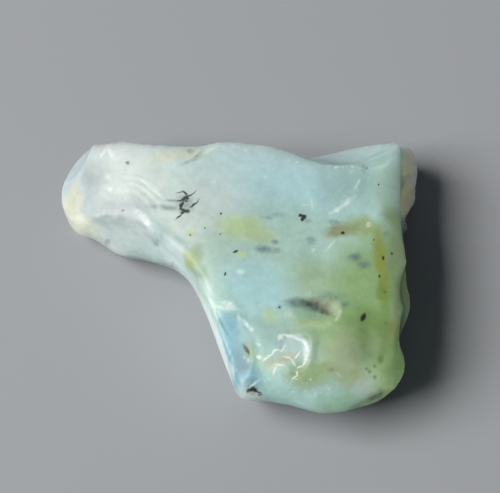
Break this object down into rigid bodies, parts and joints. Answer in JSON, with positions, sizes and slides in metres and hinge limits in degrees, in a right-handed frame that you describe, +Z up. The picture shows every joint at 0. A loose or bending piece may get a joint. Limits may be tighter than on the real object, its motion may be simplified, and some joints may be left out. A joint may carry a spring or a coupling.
{
  "type": "rough opal specimen",
  "caption": "Rough chip of pale blue-green common opal with a long lobe, glassy flake scars and a flat underside to rest on.",
  "frame": {"origin": "middle of the stone's bounding box in plan, on the flat face it lies on", "axes": "+X along the stone's length, from the tip of the lobe towards the body and its patch of rind; +Y towards its long back edge; +Z up from the face it lies on"},
  "size_m": [0.0444, 0.0354, 0.0122],
  "materials": {
    "opal": "satin, milky common opal, blue-green with cream, green and yellow clouds, waxy to glassy on fresh fracture"
  },
  "bodies": {
    "root": {"opal": "opal"}
  },
  "joints": []
}
